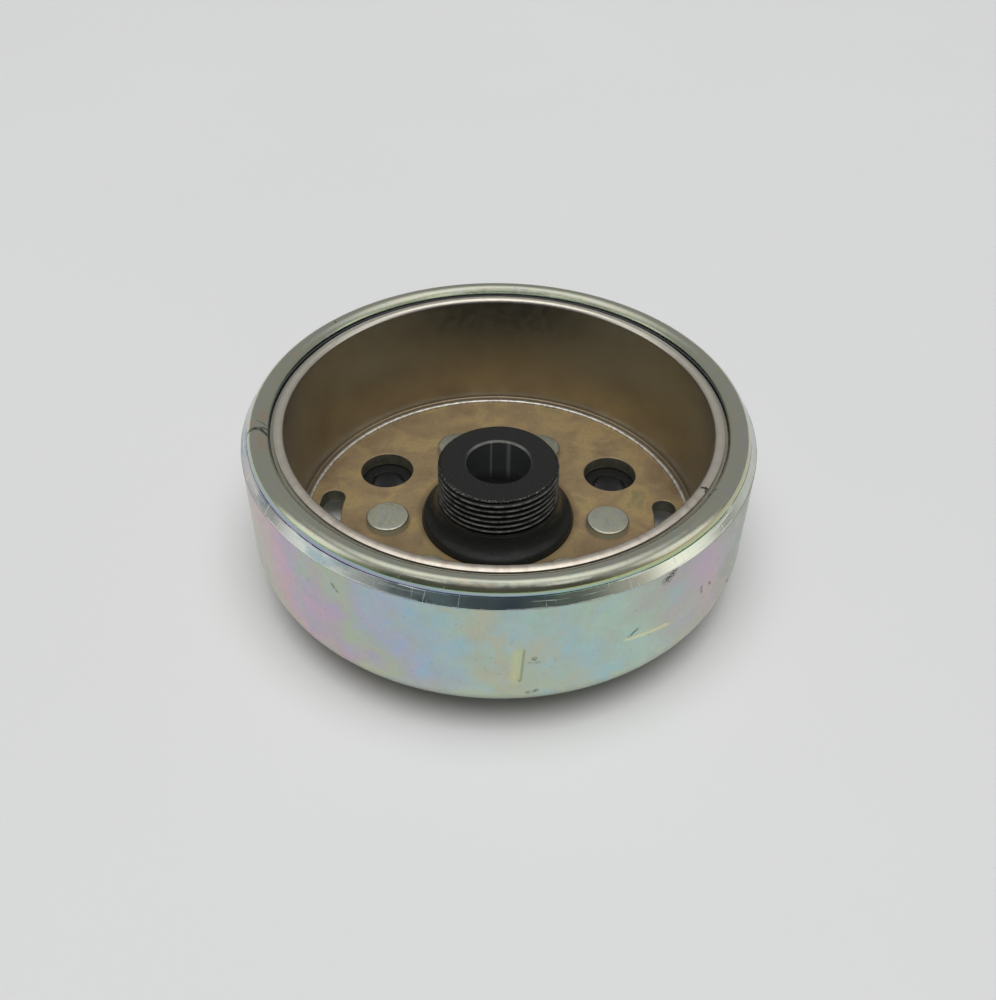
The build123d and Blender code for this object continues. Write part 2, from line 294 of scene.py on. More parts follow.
class Shader:
    """One procedural material. Positions are in millimetres in the part's own frame."""

    def __init__(self, name, **inputs):
        self.material = bpy.data.materials.new(name)
        self.material.use_nodes = True
        self.tree = self.material.node_tree
        self.surface = self.tree.nodes["Principled BSDF"]
        coords = self.node("ShaderNodeTexCoord")
        scaled = self.node("ShaderNodeVectorMath", operation="SCALE")
        self.feed(scaled.inputs[0], coords.outputs["Object"])
        self.feed(scaled.inputs["Scale"], 1 / MM)
        self.place = scaled.outputs[0]
        parts = self.node("ShaderNodeSeparateXYZ")
        self.feed(parts.inputs[0], self.place)
        self.x, self.y, self.z = parts.outputs
        self.radius = self.math("SQRT", self.math("ADD", self.math("MULTIPLY", self.x, self.x),
                                                  self.math("MULTIPLY", self.y, self.y)))
        turn = self.math("DIVIDE", self.math("ARCTAN2", self.y, self.x), math.tau)
        self.turn = self.math("FRACT", self.math("ADD", turn, 1.0))
        self.set(**inputs)

    def node(self, kind, **settings):
        made = self.tree.nodes.new(kind)
        for key, value in settings.items():
            setattr(made, key, value)
        return made

    def feed(self, socket, value):
        if isinstance(value, bpy.types.NodeSocket):
            self.tree.links.new(value, socket)
        else:
            socket.default_value = value

    def set(self, **inputs):
        for key, value in inputs.items():
            self.feed(self.surface.inputs[key.replace("_", " ")], value)

    def math(self, operation, a, b=0.0, clamp=False):
        made = self.node("ShaderNodeMath", operation=operation, use_clamp=clamp)
        self.feed(made.inputs[0], a)
        self.feed(made.inputs[1], b)
        return made.outputs[0]

    def times(self, *values):
        """Product of masks, shares and other factors."""
        product = values[0]
        for value in values[1:]:
            product = self.math("MULTIPLY", product, value)
        return product

    def most(self, *masks):
        """The strongest of several masks."""
        strongest = masks[0]
        for mask in masks[1:]:
            strongest = self.math("MAXIMUM", strongest, mask)
        return strongest

    def swing(self, noise, amount):
        """A noise turned into a shift to either side of 0."""
        return self.times(self.math("SUBTRACT", noise, 0.5), amount)

    def noise(self, scale, detail=3.0, vector=None, roughness=0.55, distortion=0.0):
        made = self.node("ShaderNodeTexNoise")
        self.feed(made.inputs["Vector"], vector or self.place)
        self.feed(made.inputs["Scale"], scale)
        self.feed(made.inputs["Detail"], detail)
        self.feed(made.inputs["Roughness"], roughness)
        self.feed(made.inputs["Distortion"], distortion)
        return made.outputs["Fac"]

    def around(self, along_turn, along_z, along_radius=0.0):
        """Coordinates unrolled round the axis, scaled for streaks and turning marks."""
        made = self.node("ShaderNodeCombineXYZ")
        self.feed(made.inputs[0], self.math("MULTIPLY", self.turn, along_turn))
        self.feed(made.inputs[1], self.math("MULTIPLY", self.z, along_z))
        self.feed(made.inputs[2], self.math("MULTIPLY", self.radius, along_radius))
        return made.outputs[0]

    def ramp(self, value, stops):
        made = self.node("ShaderNodeValToRGB")
        band = made.color_ramp
        while len(band.elements) < len(stops):
            band.elements.new(1.0)
        for element, (position, colour) in zip(band.elements, stops):
            element.position = position
            element.color = colour
        self.feed(made.inputs[0], value)
        return made.outputs[0]

    def mix(self, factor, a, b):
        made = self.node("ShaderNodeMix", data_type="RGBA")
        self.feed(made.inputs["Factor"], factor)
        self.feed(made.inputs["A"], a)
        self.feed(made.inputs["B"], b)
        return made.outputs["Result"]

    def fit(self, value, low, high, to_low=0.0, to_high=1.0):
        """Linear map of a value, held inside the target range."""
        made = self.node("ShaderNodeMapRange", clamp=True)
        for index, number in enumerate((value, low, high, to_low, to_high)):
            self.feed(made.inputs[index], number)
        return made.outputs[0]

    def unrolled(self):
        """Millimetres round the wall from +X, and height, as two sockets."""
        return self.math("MULTIPLY", self.turn, math.tau * WALL_R), self.z

    def stroke(self, plane, points, width, soft=0.3):
        """Mask along a polyline in a plane of two sockets: 1 inside the width, fading over soft."""
        u, v = plane
        nearest = None
        for (ax, ay), (bx, by) in zip(points, points[1:]):
            dx, dy = bx - ax, by - ay
            length = math.hypot(dx, dy)
            pu = self.math("SUBTRACT", u, ax)
            pv = self.math("SUBTRACT", v, ay)
            along = self.math("ADD", self.math("MULTIPLY", pu, dx / length),
                              self.math("MULTIPLY", pv, dy / length))
            held = self.math("MINIMUM", self.math("MAXIMUM", along, 0.0), length)
            beyond = self.math("SUBTRACT", along, held)
            side = self.math("SUBTRACT", self.math("MULTIPLY", pv, dx / length),
                             self.math("MULTIPLY", pu, dy / length))
            square = self.math("ADD", self.math("MULTIPLY", beyond, beyond),
                               self.math("MULTIPLY", side, side))
            distance = self.math("SQRT", square)
            nearest = self.math("MINIMUM", nearest, distance) if nearest else distance
        return self.fit(nearest, width / 2 + soft, max(width / 2 - soft, 0.0))

    def soil(self, dirt, plane, marks, ragged):
        """Dirt mask with marks added; a mark is (points, width, softness, share)."""
        for points, width, soft, share in marks:
            dirt = self.most(dirt, self.times(self.stroke(plane, points, width, soft), ragged, share))
        return dirt

    def bump(self, height, distance):
        """Adds a bump whose full height is the given distance in millimetres."""
        made = self.node("ShaderNodeBump")
        self.feed(made.inputs["Height"], height)
        made.inputs["Distance"].default_value = distance * MM
        made.inputs["Strength"].default_value = 1.0
        before = self.surface.inputs["Normal"]
        if before.is_linked:
            self.tree.links.new(before.links[0].from_socket, made.inputs["Normal"])
        self.tree.links.new(made.outputs[0], before)


# ---- Materials -----------------------------------------------------------------------
def on_wall(degrees, height):
    """Wall position as (millimetres round the wall, height)."""
    return math.radians(degrees) * WALL_R, height


def plate(red, green, blue):
    """Colour of the wall's plating, which is lighter than its display values."""
    return srgb(red, green, blue, gain=1.38)


def plated_wall():
    """Zinc plate with a pale rainbow passivate that drifts round the wall, with painted shade at the
    wall's right end.
    """
    s = Shader("zinc_plate", Metallic=1.0)
    drift = s.noise(0.055, 3.0, distortion=0.6)
    fine = s.noise(0.35, 4.0)
    shift = s.math("ADD", s.swing(drift, 0.14), s.swing(fine, 0.03))
    height = s.times(s.math("SUBTRACT", s.z, 25.0), 0.0015)
    place = s.math("FRACT", s.math("ADD", s.math("ADD", s.turn, shift), height))
    tint = s.ramp(place, [
        (0.00, plate(152, 152, 160)),
        (0.12, plate(162, 172, 160)),
        (0.25, plate(158, 160, 172)),
        (0.40, plate(168, 168, 152)),
        (0.50, plate(170, 160, 160)),
        (0.55, plate(166, 166, 150)),
        (0.605, plate(190, 148, 170)),
        (0.635, plate(168, 152, 176)),
        (0.655, plate(158, 172, 150)),
        (0.685, plate(158, 162, 190)),
        (0.71, plate(148, 172, 188)),
        (0.735, plate(152, 180, 176)),
        (0.76, plate(170, 172, 150)),
        (0.785, plate(150, 180, 182)),
        (0.82, plate(158, 186, 174)),
        (0.85, plate(158, 166, 164)),
        (0.872, plate(164, 160, 158)),
        (0.895, plate(174, 148, 158)),
        # darker stops from 0.915 to 0.972: painted shade at the wall's right end
        (0.915, plate(136, 140, 128)),
        (0.945, plate(112, 120, 104)),
        (0.972, plate(118, 124, 112)),
        (1.00, plate(152, 152, 160)),
    ])
    cloud = s.noise(0.16, 5.0, roughness=0.62)
    patches = s.ramp(s.noise(0.13, 5.0, roughness=0.62, distortion=0.8), [
        (0.36, plate(138, 168, 178)),
        (0.45, plate(158, 164, 172)),
        (0.52, plate(174, 168, 152)),
        (0.60, plate(150, 170, 148)),
        (0.68, plate(172, 156, 164)),
    ])
    tint = s.mix(0.28, tint, patches)
    tint = s.mix(s.fit(cloud, 0.45, 0.66, 0.0, 0.40), tint, plate(160, 160, 140))
    wall = s.unrolled()
    # pink patch with a lilac surround, at the right
    pink = s.stroke(wall, [on_wall(316.0, 32.5), on_wall(322.0, 27.0)], 6.0, 2.5)
    lilac = s.stroke(wall, [on_wall(312.0, 36.0), on_wall(328.0, 31.0)], 9.0, 4.0)
    tint = s.mix(s.times(lilac, 0.5), tint, plate(158, 152, 166))
    tint = s.mix(s.times(pink, 0.5), tint, plate(176, 152, 174))
    # yellow-green along the lower edge of the wall, where the corner begins
    low = s.times(s.fit(s.z, 16.0, 13.0), s.fit(s.noise(0.2, 3.0), 0.35, 0.6))
    tint = s.mix(s.times(low, 0.5), tint, plate(176, 180, 140))
    # the timing line has a yellow halo and a greenish groove; the arrow's shaft has a painted highlight
    halo = s.stroke(wall, [on_wall(274.4, 25.4), on_wall(274.0, 17.6)], 2.0, 0.7)
    tint = s.mix(s.times(halo, 0.65), tint, plate(182, 184, 138))
    lit = s.stroke(wall, [on_wall(307.7, 21.6), on_wall(297.1, 22.9)], 0.5, 0.4)
    tint = s.mix(s.times(lit, 0.7), tint, plate(214, 208, 160))
    stain = s.noise(0.9, 5.0, roughness=0.7)
    dirt = s.fit(stain, 0.60, 0.78, 0.0, 0.40)
    ragged = s.fit(s.noise(1.6, 5.0, roughness=0.75), 0.40, 0.54)
    smudges = (
        ([(317.4, 25.8), (317.8, 24.0)], 0.5, 0.4, 0.9),
        ([(320.4, 24.8), (321.0, 23.9)], 0.6, 0.3, 1.0),
        ([(331.6, 16.4), (333.0, 14.9)], 0.6, 0.3, 1.0),
        ([(235.8, 33.4), (237.0, 32.2)], 0.5, 0.4, 0.8),
        ([(276.6, 13.2), (278.4, 13.7)], 0.6, 0.5, 0.85),
        ([(305.4, 35.4), (307.0, 36.9)], 1.7, 0.7, 1.0),
        ([(276.6, 22.2), (278.6, 22.3)], 0.4, 0.3, 0.5),
    )
    smudges = [([on_wall(*point) for point in points], *rest) for points, *rest in smudges]
    tint = s.mix(s.soil(dirt, wall, smudges, ragged), tint, srgb(62, 60, 54))
    groove = s.stroke(wall, [on_wall(275.6, 26.0), on_wall(275.1, 17.2)], 0.3, 0.3)
    tint = s.mix(s.times(groove, 0.5), tint, srgb(96, 118, 84))
    s.set(Base_Color=tint)
    s.set(Roughness=s.fit(s.noise(0.6, 4.0), 0.3, 0.7, 0.27, 0.38))
    s.bump(s.noise(3.0, 4.0, roughness=0.65), 0.016)
    s.bump(s.noise(0.25, 2.0), 0.03)
    return s.material


def turned_band():
    """Bright turned band: nearly a mirror, tinted pale yellow, teal and green round the front, with a
    painted reflection there.
    """
    s = Shader("turned_band", Metallic=1.0, Anisotropic=0.4)
    lines = s.noise(1.0, 2.0, vector=s.around(6.0, 9.0, 9.0))
    drift = s.swing(s.noise(0.12, 3.0), 0.02)
    tint = s.ramp(s.math("ADD", s.turn, drift), [
        (0.00, srgb(190, 192, 190)),
        (0.50, srgb(206, 198, 200)),
        (0.60, srgb(208, 210, 206)),
        (0.645, srgb(206, 214, 206)),
        # from 0.68 to 0.83: near white to either side of the front and darker at its middle, a painted
        # reflection over the real tints
        (0.68, srgb(246, 255, 250)),
        (0.72, srgb(222, 255, 255)),
        (0.742, srgb(180, 202, 206)),
        (0.76, srgb(176, 196, 200)),
        (0.785, srgb(230, 252, 226)),
        (0.83, srgb(250, 250, 228)),
        (0.88, srgb(226, 232, 214)),
        (1.00, srgb(190, 192, 190)),
    ])
    # blue-grey patches, up to a little right of the front
    patch = s.noise(1.0, 3.0, vector=s.around(40.0, 0.25, 0.0))
    patch = s.times(s.fit(patch, 0.46, 0.62, 0.0, 0.6), s.fit(s.turn, 0.80, 0.77))
    tint = s.mix(patch, tint, srgb(130, 160, 176))
    # bare metal shows in short streaks, in fine upright ticks and along the lower edge
    ticks = s.noise(1.0, 2.0, vector=s.around(700.0, 0.1, 0.1))
    streaks = s.noise(1.0, 3.0, vector=s.around(30.0, 2.6, 0.1))
    rubs = s.noise(1.0, 2.0, vector=s.around(60.0, 0.1, 0.0))
    edge = s.times(s.fit(s.z, BAND_LOW + 0.35, BAND_LOW + 0.15), s.fit(rubs, 0.48, 0.56))
    bare = s.most(s.fit(ticks, 0.66, 0.70), s.fit(streaks, 0.60, 0.66), edge)
    tint = s.mix(s.times(bare, 0.6), tint, srgb(255, 255, 250))
    s.set(Base_Color=tint)
    s.set(Roughness=s.math("ADD", s.fit(lines, 0.3, 0.7, 0.12, 0.22), s.times(bare, 0.25)))
    s.bump(lines, 0.009)
    return s.material


def rolled_rim():
    """Rim bead: satin grey plate with tan and green clouds, a crack and small nicks."""
    s = Shader("rim_plate", Metallic=1.0)
    cloud = s.noise(0.12, 4.0, roughness=0.6)
    tint = s.ramp(cloud, [
        (0.30, srgb(208, 210, 206)),
        (0.48, srgb(212, 212, 192)),
        (0.60, srgb(206, 212, 196)),
        (0.75, srgb(224, 208, 182)),
    ])
    # rainbow low on the outer side, from bluish at the left to yellow-green at the right
    low = s.fit(s.z, BAND_TOP + 1.9, BAND_TOP + 1.2)
    drift = s.fit(s.turn, 0.62, 0.88, 0.2, -0.5)
    depth = s.math("ADD", s.fit(s.z, BAND_TOP + 1.8, BAND_TOP + 0.35), drift, clamp=True)
    rainbow = s.ramp(depth, [
        (0.0, srgb(196, 188, 150)),
        (0.25, srgb(196, 206, 140)),
        (0.5, srgb(166, 198, 172)),
        (0.75, srgb(158, 184, 200)),
        (1.0, srgb(172, 162, 200)),
    ])
    tint = s.mix(s.times(low, 0.85), tint, rainbow)
    plane = (s.x, s.y)
    tan = s.most(s.stroke(plane, [(-51.4, -2.6), (-51.2, -5.4)], 1.0, 0.8),
                 s.stroke(plane, [(-50.6, -11.2), (-49.4, -15.2)], 0.9, 0.7))
    tint = s.mix(s.times(tan, 0.6), tint, srgb(228, 198, 168))
    specks = s.noise(1.3, 5.0, roughness=0.7)
    dirt = s.fit(specks, 0.64, 0.76, 0.0, 0.4)
    ragged = s.fit(s.noise(1.8, 4.0, roughness=0.7), 0.36, 0.52, 0.4, 1.0)
    # a thin scratch, the crack with its two branches, and two nicks
    marks = (
        ([(-52.3, -5.9), (-50.1, -6.9)], 0.14, 0.14, 1.0),
        ([(-53.7, -9.4), (-52.1, -8.8), (-51.0, -8.9), (-49.5, -9.9)], 0.85, 0.30, 0.95),
        ([(-52.1, -8.8), (-49.6, -7.9)], 0.45, 0.25, 0.85),
        ([(-53.5, -9.4), (-54.2, -10.3)], 0.15, 0.2, 0.6),
        ([(43.3, -25.5), (43.9, -25.8)], 0.5, 0.3, 0.7),
        ([(-40.0, 33.4), (-40.2, 33.9)], 0.3, 0.2, 0.7),
    )
    dirt = s.soil(dirt, plane, marks, ragged)
    tint = s.mix(dirt, tint, srgb(58, 54, 44))
    s.set(Base_Color=tint)
    s.set(Roughness=s.fit(s.noise(0.8, 3.0), 0.3, 0.7, 0.12, 0.20))
    s.bump(s.noise(0.35, 2.0), 0.03)
    s.bump(dirt, -0.05)
    return s.material


def passivated_floor():
    """Inside of the cup: matt golden brown passivate with cloudy mottling."""
    s = Shader("golden_passivate", Metallic=0.6)
    cloud = s.noise(0.10, 5.0, roughness=0.6, distortion=0.4)
    tint = s.ramp(cloud, [
        (0.30, srgb(134, 114, 86)),
        (0.42, srgb(154, 132, 98)),
        (0.50, srgb(162, 140, 106)),
        (0.60, srgb(178, 154, 108)),
        (0.70, srgb(148, 138, 100)),
    ])
    grain = s.noise(1.6, 5.0, roughness=0.7)
    tint = s.mix(s.fit(grain, 0.50, 0.72, 0.0, 0.30), tint, srgb(112, 94, 72))
    # painted shade: darker towards the front, which the front wall shades, and in the corner round the
    # hub's foot
    floor_painted_shade = s.most(s.fit(s.y, 0.0, -20.0, 0.05, 0.55),
                   s.fit(s.radius, SPIGOT_R + 2.2, SPIGOT_R, 0.0, 0.6))
    tint = s.mix(floor_painted_shade, tint, srgb(70, 60, 46))
    s.set(Base_Color=tint)
    s.set(Roughness=s.fit(grain, 0.3, 0.7, 0.48, 0.65))
    s.bump(grain, 0.015)
    return s.material


def punched_edge():
    """Sheared walls of the floor openings: bare, dark and dull."""
    s = Shader("punched_edge", Metallic=0.3)
    grain = s.noise(1.2, 4.0, vector=s.around(60.0, 0.3, 0.3))
    s.set(Base_Color=s.ramp(grain, [(0.35, srgb(92, 92, 78)), (0.7, srgb(120, 118, 100))]))
    s.set(Roughness=s.fit(grain, 0.3, 0.7, 0.5, 0.65))
    s.bump(grain, 0.02)
    return s.material


def liner_steel():
    """Thin stainless liner: smooth and satin, with faint draw marks on wall and lip."""
    s = Shader("satin_stainless", Metallic=1.0)
    streaks = s.noise(1.0, 3.0, vector=s.around(180.0, 0.05, 0.2))
    cloud = s.noise(0.06, 3.0)
    lip = s.fit(s.z, LIP_TOP - 1.0, LIP_TOP - 0.4)
    wall_tint = s.ramp(s.fit(s.z, FLOOR_Z, LIP_TOP), [
        (0.0, srgb(172, 166, 154)),
        (0.45, srgb(156, 154, 146)),
        (0.9, srgb(160, 162, 158)),
    ])
    wall_tint = s.mix(s.fit(cloud, 0.4, 0.65, 0.0, 0.3), wall_tint, srgb(128, 120, 104))
    foot = s.fit(s.z, FLOOR_Z + 1.1, FLOOR_Z + 0.7)
    wall_tint = s.mix(foot, wall_tint, srgb(158, 144, 122))
    # painted highlight along the foot's rounded edge, broken up by noise
    edge = s.fit(s.radius, FOOT_R + 0.80, FOOT_R + 0.55)
    wear_and_glint_noise = s.fit(s.noise(0.9, 3.0), 0.36, 0.56, 0.45, 1.0)
    wall_tint = s.mix(s.times(foot, edge, wear_and_glint_noise), wall_tint, srgb(244, 242, 236))
    lip_tint = s.ramp(streaks, [
        (0.34, srgb(216, 204, 190)),
        (0.50, srgb(230, 221, 206)),
        (0.68, srgb(236, 229, 217)),
    ])
    lip_tint = s.mix(s.fit(s.y, -30.0, -10.0), lip_tint, srgb(232, 226, 212))
    plane = (s.x, s.y)
    nick = s.most(s.stroke(plane, [(41.4, -24.3), (42.8, -24.6)], 0.5, 0.2),
                  s.stroke(plane, [(42.3, -24.2), (42.1, -25.6)], 0.35, 0.2))
    lip_tint = s.mix(nick, lip_tint, srgb(24, 22, 18))
    s.set(Base_Color=s.mix(lip, wall_tint, lip_tint))
    smooth_part = s.fit(s.noise(0.5, 3.0), 0.3, 0.7, 0.28, 0.36)
    s.set(Roughness=s.math("ADD", smooth_part, s.times(foot, 0.12)))
    s.bump(s.noise(0.5, 2.0), 0.012)
    return s.material


def rivet_plate():
    """Rivet heads: grey-green plate with a yellowish patch, finely pitted."""
    s = Shader("rivet_plate", Metallic=1.0)
    cloud = s.noise(0.5, 5.0, roughness=0.65)
    tint = s.ramp(cloud, [
        (0.35, srgb(184, 188, 176)),
        (0.52, srgb(194, 196, 182)),
        (0.60, srgb(198, 194, 166)),
        (0.70, srgb(186, 186, 180)),
    ])
    side = s.fit(s.z, RIVET_TOP - 0.45, RIVET_TOP - 0.75)
    tint = s.mix(side, tint, srgb(176, 178, 160))
    s.set(Base_Color=tint)
    s.set(Metallic=s.fit(side, 0.0, 1.0, 1.0, 0.45))
    s.set(Roughness=s.fit(s.noise(1.5, 3.0), 0.3, 0.7, 0.34, 0.48))
    s.bump(s.noise(2.5, 4.0), 0.02)
    return s.material


def black_oxide():
    """Machined steel with black oxide: dark, with a soft sheen, worn thread crests, painted highlights
    on two chamfers and painted reflections in the bore.
    """
    s = Shader("black_oxide", Metallic=0.0, Specular_IOR_Level=0.28)
    grain = s.noise(1.4, 4.0, roughness=0.55)
    tint = s.ramp(grain, [(0.35, srgb(31, 32, 31)), (0.65, srgb(35, 36, 34))])
    turning = s.noise(1.0, 3.0, vector=s.around(3.0, 7.0, 7.0))
    # painted highlight on the chamfer under the top face, mostly at the front, broken up by noise
    ragged = s.fit(s.noise(2.6, 6.0, roughness=0.8), 0.52, 0.60)
    top = s.fit(s.z, HUB_TOP - 0.95, HUB_TOP - 0.75)
    corner = s.fit(s.radius, THREAD_R - 1.0, THREAD_R - 0.7)
    front = s.fit(s.y, 2.0, -9.0, 0.25, 1.0)
    below_top = s.fit(s.z, HUB_TOP - 0.08, HUB_TOP - 0.14)
    highlights_and_wear = s.times(top, corner, ragged, front, below_top)
    # thread crests, worn bare in places
    crest = s.times(s.fit(s.radius, THREAD_R - 0.30, THREAD_R - 0.08),
                    s.fit(s.z, HUB_TOP - 0.70, HUB_TOP - 0.90),
                    s.fit(s.z, THREAD_LOW - 0.1, THREAD_LOW + 0.3))
    wear_and_glint_noise = s.fit(s.noise(1.0, 3.0, vector=s.around(40.0, 0.6, 0.0)), 0.40, 0.60, 0.10, 0.55)
    # painted highlight on the chamfer at the mouth of the bore, at the back
    mouth = s.times(s.fit(s.radius, BORE_R + 0.55, BORE_R + 0.4),
                    s.fit(s.z, HUB_TOP - 0.55, HUB_TOP - 0.4),
                    s.fit(s.y, 2.0, 6.0, 0.04, 0.5))
    highlights_and_wear = s.most(highlights_and_wear, s.times(crest, wear_and_glint_noise), mouth)
    bore = s.fit(s.radius, BORE_R + 0.3, BORE_R + 0.1)
    tint = s.mix(bore, tint, srgb(72, 75, 74))
    # two upright painted reflections: light streaks at the back of the bore
    unrolled = (s.times(s.turn, 360.0), s.z)
    marks = s.most(s.stroke(unrolled, [(104.0, 10.0), (104.0, HUB_TOP)], 3.0, 1.5),
                   s.stroke(unrolled, [(72.0, 10.0), (72.0, HUB_TOP)], 5.0, 3.0))
    tint = s.mix(s.times(marks, bore, 0.6), tint, srgb(150, 152, 148))
    s.set(Base_Color=s.mix(highlights_and_wear, tint, srgb(150, 150, 144)))
    s.set(Metallic=s.times(highlights_and_wear, 0.8))
    s.set(Roughness=s.fit(grain, 0.3, 0.7, 0.20, 0.28))
    s.bump(turning, 0.003)
    return s.material


def ferrite():
    """Dark sintered magnet."""
    s = Shader("ferrite", Metallic=0.2)
    grain = s.noise(2.0, 6.0, roughness=0.75)
    s.set(Base_Color=s.ramp(grain, [(0.35, srgb(38, 38, 40)), (0.7, srgb(66, 66, 70))]))
    s.set(Roughness=s.fit(grain, 0.3, 0.7, 0.55, 0.75))
    s.bump(grain, 0.04)
    return s.material


def spacer_plastic():
    """Moulded grey-brown plastic with a fine texture."""
    s = Shader("spacer_plastic")
    grain = s.noise(3.0, 4.0)
    s.set(Base_Color=s.ramp(grain, [(0.35, srgb(104, 102, 92)), (0.7, srgb(132, 128, 116))]))
    s.set(Roughness=s.fit(grain, 0.3, 0.7, 0.45, 0.62))
    s.bump(grain, 0.02)
    return s.material


# ---- Rotor cup -----------------------------------------------------------------------
def cup_outline():
    """Turned section: floor, drawn corner, wall, turned band, groove and rolled rim."""
    outer_z = RIM_TOP - OUTER_R
    first = math.degrees(math.asin((BAND_TOP + 0.3 - outer_z) / OUTER_R))
    last = math.degrees(math.acos((RIM_IN_R + 0.08 - BEAD_CENTRE_R) / BEAD_R))
    corners = [
        (SPIGOT_R + PLAY, FLANGE_T, 0.15),
        (WALL_R, FLANGE_T, CORNER_R),
        (WALL_R, BAND_LOW, 0.10),
        (BAND_LOW_R, BAND_LOW + 0.06, 0.08),
        (BAND_TOP_R, BAND_TOP, 0.06),
        (GROOVE_R, BAND_TOP + 0.04, 0.08),
        (GROOVE_R, BAND_TOP + 0.28, 0.08),
    ]
    corners += arc(BEAD_CENTRE_R, outer_z, OUTER_R, first, 90, 24)
    corners += arc(BEAD_CENTRE_R, RIM_TOP - BEAD_R, BEAD_R, 90, last, 16)[1:]
    corners += [
        (RIM_IN_R, RIM_UNDER_Z + 1.6, 0.3),
        (RIM_IN_R, RIM_UNDER_Z, 0.3),
        (WALL_IN_R, RIM_UNDER_Z, 0.3),
        (WALL_IN_R, FLOOR_Z, CORNER_IN_R),
        (SPIGOT_R + PLAY, FLOOR_Z, 0.15),
    ]
    return rounded(corners)


def hole_cutter(radius, x, y, low, high, flare):
    """Round punch whose upper end widens, so that the hole's edge comes out rounded."""
    outline = [Vector((0, low)), Vector((radius, low))]
    for k in range(6):
        a = math.radians(15 * k)
        outline.append(Vector((radius + flare * (1 - math.cos(a)), high - flare * (1 - math.sin(a)))))
    outline += [Vector((radius + flare, high + 1)), Vector((0, high + 1))]
    return lathe("punch", outline, segments=96, at=(x, y))


def slot_cutter(middle, low, high, flare):
    """Punch for one curved slot with round ends and a rounded upper edge."""
    half = SLOT_SWEEP / 2
    levels = [(low, 0.0)]
    for k in range(6):
        a = math.radians(15 * k)
        levels.append((high - flare * (1 - math.sin(a)), flare * (1 - math.cos(a))))
    levels.append((high + 1, flare))
    starts = polar(SLOT_R, middle - half)
    ends = polar(SLOT_R, middle + half)
    rings = []
    for z, wider in levels:
        width = SLOT_W / 2 + wider
        ring = [polar(SLOT_R + width, middle - half + SLOT_SWEEP * k / 16) for k in range(17)]
        ring += [polar_from(ends, width, middle + half + 12 * k) for k in range(1, 15)]
        ring += [polar(SLOT_R - width, middle + half - SLOT_SWEEP * k / 16) for k in range(17)]
        ring += [polar_from(starts, width, middle - half + 180 + 12 * k) for k in range(1, 15)]
        rings.append([(x, y, z) for x, y in ring])
    return loft("slot_punch", rings)


def tip_step(radius, degrees, direction):
    """Where a stroke's round end has a section, along the stroke, and that section's radius."""
    a = math.radians(degrees)
    return direction * radius * math.cos(a), radius * math.sin(a)


def stroke_cutter(points, width, depth):
    """Round-bottomed tool that stamps a stroke into the wall; points are (degrees, z)."""
    radius = (width**2 / 4 + depth**2) / (2 * depth)
    spine = [Vector((*polar(WALL_R + radius - depth, a), z)) for a, z in points]
    round_end = (8, 25, 45, 65)          # degrees from the tip to the full section
    sections = []
    for i, centre in enumerate(spine):
        along = (spine[min(i + 1, len(spine) - 1)] - spine[max(i - 1, 0)]).normalized()
        out = Vector((centre.x, centre.y, 0)).normalized()
        across = along.cross(out).normalized()
        out = across.cross(along)
        steps = [(0.0, radius)]
        if i == 0:
            steps = [tip_step(radius, a, -1) for a in round_end] + steps
        if i == len(spine) - 1:
            steps += [tip_step(radius, a, 1) for a in reversed(round_end)]
        sections += [(centre + along * ahead, out, across, size) for ahead, size in steps]
    turns = [math.tau * k / 20 for k in range(20)]
    return loft("stroke", [
        [centre + (out * math.cos(a) + across * math.sin(a)) * size for a in turns]
        for centre, out, across, size in sections
    ])


def straight(start, end, count=10):
    """Evenly spaced (degrees, z) points from start to end."""
    return [tuple(a + (b - a) * k / count for a, b in zip(start, end)) for k in range(count + 1)]


def rivet_angles():
    """Three pairs of rivets, one pair to either side of each bolt hole."""
    return [a + side * RIVET_OFFSET for a in BOLT_ANGLES for side in (-1, 1)]


def build_cup():
    """Plated cup with its punched floor, timing line, punch dot and direction arrow."""
    cup = lathe("rotor_cup_plated", cup_outline())
    low = FLANGE_T - 1
    cutters = []
    for angle in BOLT_ANGLES:
        cutters.append(hole_cutter(ACCESS_R, *polar(BOLT_CIRCLE_R, angle), low, FLOOR_Z, 0.3))
    for angle in rivet_angles():
        x, y = polar(RIVET_CIRCLE_R, angle)
        cutters.append(hole_cutter(RIVET_SHANK_R + PLAY, x, y, low, FLOOR_Z, 0.05))
    for angle in SLOT_ANGLES:
        cutters.append(slot_cutter(angle, low, FLOOR_Z, 0.3))
    marks = [
        (straight((275.3, 25.9), (274.8, 17.4)), 1.1, 0.2),
        (straight((277.6, 23.4), (277.6, 23.3), 1), 1.2, 0.36),
        (straight((307.5, 22.1), (297.4, 23.4)), 0.6, 0.22),
        (straight((297.4, 23.4), (299.4, 24.9), 4), 0.6, 0.26),
    ]
    carve(cup, [join("cup_tools", cutters)])
    for points, width, depth in marks:
        carve(cup, [stroke_cutter(points, width, depth)])
    skins = [plated_wall(), turned_band(), rolled_rim(), passivated_floor(), punched_edge()]
    wall, band, rim, inside, edge = range(len(skins))

    def region(radius, z, normal):
        if radius < WALL_R - 9 and FLANGE_T < z < FLOOR_Z - 0.1 and abs(normal.z) < 0.8:
            return edge
        if radius < WALL_IN_R + 0.2 and z > FLANGE_T + 0.1 and z < BAND_TOP - 2:
            return inside
        if z > BAND_TOP + 0.02:
            return rim
        if z > BAND_LOW + 0.1 and radius > GROOVE_R - 0.2:
            return band
        return wall

    paint(cup, skins, region)
    finish_piece(cup, "zinc_plated_steel", "rotor_cup")


